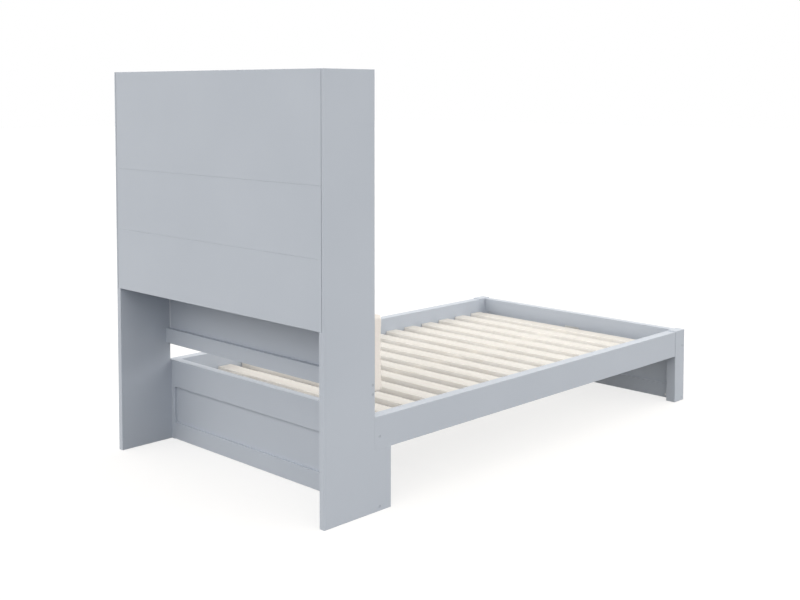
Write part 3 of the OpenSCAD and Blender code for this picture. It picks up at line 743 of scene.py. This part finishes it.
unfilled = [vertex.co.copy() for vertex in cushion.data.vertices]
pinned = cushion.vertex_groups.new(name="back")
at_back = [i for i, place in enumerate(unfilled) if place.y > pad_high.y - PINNED_DEPTH]
pinned.add(at_back, 1.0, "REPLACE")
cloth = cushion.modifiers.new("cover", "CLOTH")
settings = cloth.settings
settings.vertex_group_mass = "back"
settings.use_pressure = True
settings.uniform_pressure_force = PRESSURE
settings.tension_stiffness = settings.compression_stiffness = WEAVE_STIFFNESS
settings.bending_stiffness = FOLD_STIFFNESS
settings.effector_weights.gravity = 0.0
cloth.collision_settings.use_collision = False
for clock in (bpy.context.scene, cloth.point_cache):
    clock.frame_start, clock.frame_end = 1, LAST_FRAME
for frame_number in range(1, LAST_FRAME + 1):
    bpy.context.scene.frame_set(frame_number)
apply_modifiers(cushion)
for vertex, place in zip(cushion.data.vertices, unfilled):
    freedom = eased(from_edge(place, 0) / SOFT_REACH) * eased(from_edge(place, 2) / SOFT_REACH)
    most_move = EDGE_MOVE + (MIDDLE_MOVE - EDGE_MOVE) * freedom
    move = vertex.co - place
    if move.length > most_move:
        vertex.co = place + move * (most_move / move.length)
moves = [(vertex.co - place).length for vertex, place in zip(cushion.data.vertices, unfilled)]
print("largest move mm:", round(1000 * max(moves), 2))

# %% [markdown]
# ## Rounding off the pad
#
# The remesh leaves tiny steps, which would show as rings on the face. Its middle is ironed with
# many rounds of smoothing, the whole pad gets only two, so that its edges stay square, and it is
# subdivided once. Smoothing draws it in a little, so it is stretched back until it just fills the
# box of the solid that it replaces.

# %% Smoothing
IRON_START, IRON_FULL, IRON_ROUNDS, SOFTEN_ROUNDS = 0.010, 0.030, 60, 2
BACK_CLEARANCE = 0.0003

ironed = cushion.vertex_groups.new(name="face")
for vertex in cushion.data.vertices:
    inside = min(from_edge(vertex.co, 0), from_edge(vertex.co, 2))
    share = eased((inside - IRON_START) / (IRON_FULL - IRON_START))
    if share > 0 and vertex.co.y < pad_middle.y:
        ironed.add([vertex.index], share, "REPLACE")
iron = cushion.modifiers.new("iron", "SMOOTH")
iron.factor, iron.iterations, iron.vertex_group = 0.5, IRON_ROUNDS, "face"
soften = cushion.modifiers.new("soften", "SMOOTH")
soften.factor, soften.iterations = 0.5, SOFTEN_ROUNDS
finer = cushion.modifiers.new("finer", "SUBSURF")
finer.levels = finer.render_levels = 1
apply_modifiers(cushion)

room_low, room_high = pad_low, pad_high - Vector((0, BACK_CLEARANCE, 0))
for axis in range(3):
    places = [vertex.co[axis] for vertex in cushion.data.vertices]
    lowest, highest = min(places), max(places)
    stretch = (room_high[axis] - room_low[axis]) / (highest - lowest)
    for vertex, place in zip(cushion.data.vertices, places):
        vertex.co[axis] = room_low[axis] + (place - lowest) * stretch
print("pad size mm:", [round(1000 * side, 1) for side in room_high - room_low])

# %% Cover of the pad
cushion.data.materials.clear()
cushion.data.materials.append(cream_cover)
cushion.data.shade_smooth()
square_on = cushion.data.attributes.new("square_on", "FLOAT_VECTOR", "POINT")
squareness = [abs(side) for vertex in cushion.data.vertices for side in vertex.normal]
square_on.data.foreach_set("vector", squareness)
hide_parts("backrest_pad")
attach(cushion, "root")
print("pad triangles:", sum(len(face.vertices) - 2 for face in cushion.data.polygons))

# %% [markdown]
# ## The pad's welt
#
# A thin sewn welt runs round the front edge of the pad, where the front cloth meets the narrow
# border. It has to lie on the cushion as it came out of the filling, so rays are sent at the
# cushion from all round, and the welt follows the points that they hit.

# %% Welt path
WELT_RADIUS, WELT_INSET, WELT_DEPTH, RAY_START = 0.0016, 0.016, 0.0075, 0.06
WELT_POINTS, CORNER_POINTS = 240, 6


def cushion_edge(surface, depth):
    half_x, half_z = pad_size.x / 2 - WELT_INSET, pad_size.z / 2 - WELT_INSET
    corners = [(half_x, half_z), (-half_x, half_z), (-half_x, -half_z), (half_x, -half_z)]
    sides = [(corners[i], corners[(i + 1) % 4]) for i in range(4)]
    path = []
    for side, ((x0, z0), (x1, z1)) in enumerate(sides):
        out = (side + 1) * math.pi / 2
        share = (abs(x1 - x0) + abs(z1 - z0)) / (4 * (half_x + half_z))
        steps = max(4, round(WELT_POINTS * share))
        along = [(x0 + (x1 - x0) * i / steps, z0 + (z1 - z0) * i / steps, out) for i in range(steps)]
        round_corner = [(x1, z1, out + i * math.pi / 2 / CORNER_POINTS) for i in range(CORNER_POINTS)]
        for x, z, angle in along + round_corner:
            centre = Vector((pad_middle.x + x, depth, pad_middle.z + z))
            way = Vector((math.cos(angle), 0, math.sin(angle)))
            hit = surface.ray_cast(centre + way * RAY_START, -way)[0]
            if hit:
                path.append(hit)
    return path


surface = BVHTree.FromObject(cushion, bpy.context.evaluated_depsgraph_get())
path = cushion_edge(surface, pad_low.y + WELT_DEPTH)
print("welt points:", len(path))

# %% [markdown]
# The welt itself is a thin tube swept along that path by Geometry Nodes, sunk a little into the
# cloth as a sewn edge is.

# %% Welt recipe
welt_recipe, given = new_recipe(
    "welt_recipe",
    {"Radius": "NodeSocketFloat", "Finish": "NodeSocketMaterial"},
)
welt_line = add(welt_recipe, "GeometryNodeMeshToCurve", {"Mesh": given["Geometry"]})
circle = {"Radius": given["Radius"], "Resolution": 8}
ring = add(welt_recipe, "GeometryNodeCurvePrimitiveCircle", circle)
tube = add(
    welt_recipe,
    "GeometryNodeCurveToMesh",
    {"Curve": welt_line.outputs["Curve"], "Profile Curve": ring.outputs["Curve"]},
)
smooth_tube = add(welt_recipe, "GeometryNodeSetShadeSmooth", {"Geometry": tube.outputs["Mesh"]})
end_recipe(welt_recipe, smooth_tube.outputs["Geometry"])

path_mesh = bpy.data.meshes.new("welt_path")
path_mesh.from_pydata(path, [(i, (i + 1) % len(path)) for i in range(len(path))], [])
welt = grow("cushion_welt", welt_recipe, path_mesh, Radius=WELT_RADIUS, Finish=cream_cover)
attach(welt, "root")
print("welt faces:", len(welt.data.polygons))

# %% [markdown]
# ## Floor and light
#
# The photograph has a pure white ground and light so soft that it throws hardly a shadow. Large
# soft boxes all round the bed give that: here they are a bright band of sky, half way up, and two
# rings of suns that are 45 degrees wide. The low ring reaches under the pad and the shelves. The
# floor that the camera sees is nearly white, and the floor that lights the bed from below is
# greyer, or the undersides would glow. Light Path tells the two apart: rays from the camera, and
# those that a glossy surface or glass sends on, see the white studio, and the diffuse rays that
# carry the light see the grey felt and the sky.

# %% Floor
FLOOR_REACH, FLOOR_LEVEL = 40.0, -0.0002
WHITE, PAPER_WHITE, FELT_GREY = (1.0, 1.0, 1.0, 1.0), (0.93, 0.93, 0.93, 1.0), (0.20, 0.20, 0.20, 1.0)
SHADOW_SHARE = 0.3


def white_studio_rays(tree):
    kinds = add(tree, "ShaderNodeLightPath").outputs
    seen = kinds["Is Camera Ray"]
    for kind in ("Is Glossy Ray", "Is Transmission Ray"):
        seen = calc(tree, "MAXIMUM", seen, kinds[kind])
    return seen


floor_mesh = bpy.data.meshes.new("studio_floor")
floor_corners = [(-1, -1), (1, -1), (1, 1), (-1, 1)]
floor_points = [(FLOOR_REACH * x, FLOOR_REACH * y, FLOOR_LEVEL) for x, y in floor_corners]
floor_mesh.from_pydata(floor_points, [], [(0, 1, 2, 3)])
floor = bpy.data.objects.new("studio_floor", floor_mesh)
bpy.context.scene.collection.objects.link(floor)
floor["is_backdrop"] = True

floor_finish = bpy.data.materials.new("white_floor")
floor_finish.use_nodes = True
floor_tree = floor_finish.node_tree
floor_tree.nodes.clear()
glow = add(floor_tree, "ShaderNodeEmission", {"Color": WHITE, "Strength": 1.0}).outputs["Emission"]
paper = add(floor_tree, "ShaderNodeBsdfDiffuse", {"Color": PAPER_WHITE}).outputs["BSDF"]
felt = add(floor_tree, "ShaderNodeBsdfDiffuse", {"Color": FELT_GREY}).outputs["BSDF"]
shown = add(floor_tree, "ShaderNodeMixShader", {0: SHADOW_SHARE, 1: glow, 2: paper}).outputs["Shader"]
choice = {0: white_studio_rays(floor_tree), 1: felt, 2: shown}
floor_mix = add(floor_tree, "ShaderNodeMixShader", choice).outputs["Shader"]
add(floor_tree, "ShaderNodeOutputMaterial", {"Surface": floor_mix})
floor.data.materials.append(floor_finish)
print("floor reaches m:", FLOOR_REACH)

# %% Sky
SKY_LEVEL, RED_SHARE, BLUE_SHARE = 1.78, 1.01, 0.99
# The height of a direction, from 0 at the horizon to 1 overhead, and the light that comes from it.
SKY_BAND = [(0.0, 0.04), (0.16, 0.71), (0.45, 1.0), (0.80, 0.09), (1.0, 0.04)]

world = bpy.data.worlds.new("studio_sky")
bpy.context.scene.world = world
world.use_nodes = True
sky_tree = world.node_tree
sky_tree.nodes.clear()
direction = add(sky_tree, "ShaderNodeTexCoord").outputs["Generated"]
sky_height = add(sky_tree, "ShaderNodeSeparateXYZ", {"Vector": direction}).outputs["Z"]
ramp = add(sky_tree, "ShaderNodeValToRGB", {"Fac": sky_height})
while len(ramp.color_ramp.elements) < len(SKY_BAND):
    ramp.color_ramp.elements.new(0.5)
for element, (position, level) in zip(ramp.color_ramp.elements, SKY_BAND):
    element.position = position
    element.color = (RED_SHARE * level, level, BLUE_SHARE * level, 1.0)
band = {"Color": ramp.outputs["Color"], "Strength": SKY_LEVEL}
sky = add(sky_tree, "ShaderNodeBackground", band).outputs["Background"]
ground = add(sky_tree, "ShaderNodeBackground", {"Color": WHITE, "Strength": 1.0}).outputs["Background"]
choice = {0: white_studio_rays(sky_tree), 1: sky, 2: ground}
sky_mix = add(sky_tree, "ShaderNodeMixShader", choice).outputs["Shader"]
add(sky_tree, "ShaderNodeOutputWorld", {"Surface": sky_mix})
print("sky level:", SKY_LEVEL)

# %% Lamps
LAMP_WIDTH, LAMP_COLOUR = math.radians(45), (1.0, 0.948, 0.866)
# Degrees above the floor, then degrees round the bed and strength. The round starts with 0 behind
# the headboard, and has 90 on the bed's left side and 180 at its foot.
LAMP_RINGS = {
    30: {0: 0.31, 45: 0.19, 90: 0.30, 135: 0.42, 180: 0.44, 270: 0.63, 315: 0.44},
    60: {0: 0.60, 90: 0.44, 180: 0.50},
}


def lamp(name, compass, height, level):
    turn, lift = math.radians(compass), math.radians(height)
    data = bpy.data.lights.new(name, "SUN")
    data.energy, data.angle, data.color = level, LAMP_WIDTH, LAMP_COLOUR
    towards = Vector((-math.sin(turn) * math.cos(lift), math.cos(turn) * math.cos(lift), math.sin(lift)))
    made = bpy.data.objects.new(name, data)
    made.rotation_euler = towards.to_track_quat("Z", "Y").to_euler()
    bpy.context.scene.collection.objects.link(made)


for height, ring in LAMP_RINGS.items():
    for compass, level in ring.items():
        lamp(f"lamp_{height}_{compass}", compass, height, level)
bpy.context.scene.view_settings.view_transform = "Standard"
print("lamps:", sum(len(ring) for ring in LAMP_RINGS.values()))

# %% [markdown]
# ## Measuring the result
#
# The dressed bed must be the size of the construction model, so the script prints how far its box
# has grown past the model's.

# %% Sizes and finish
seen_low, seen_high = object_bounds()
growth = seen_high - seen_low - frame_size
print("grown past the model in mm:", [round(1000 * side, 1) for side in growth])
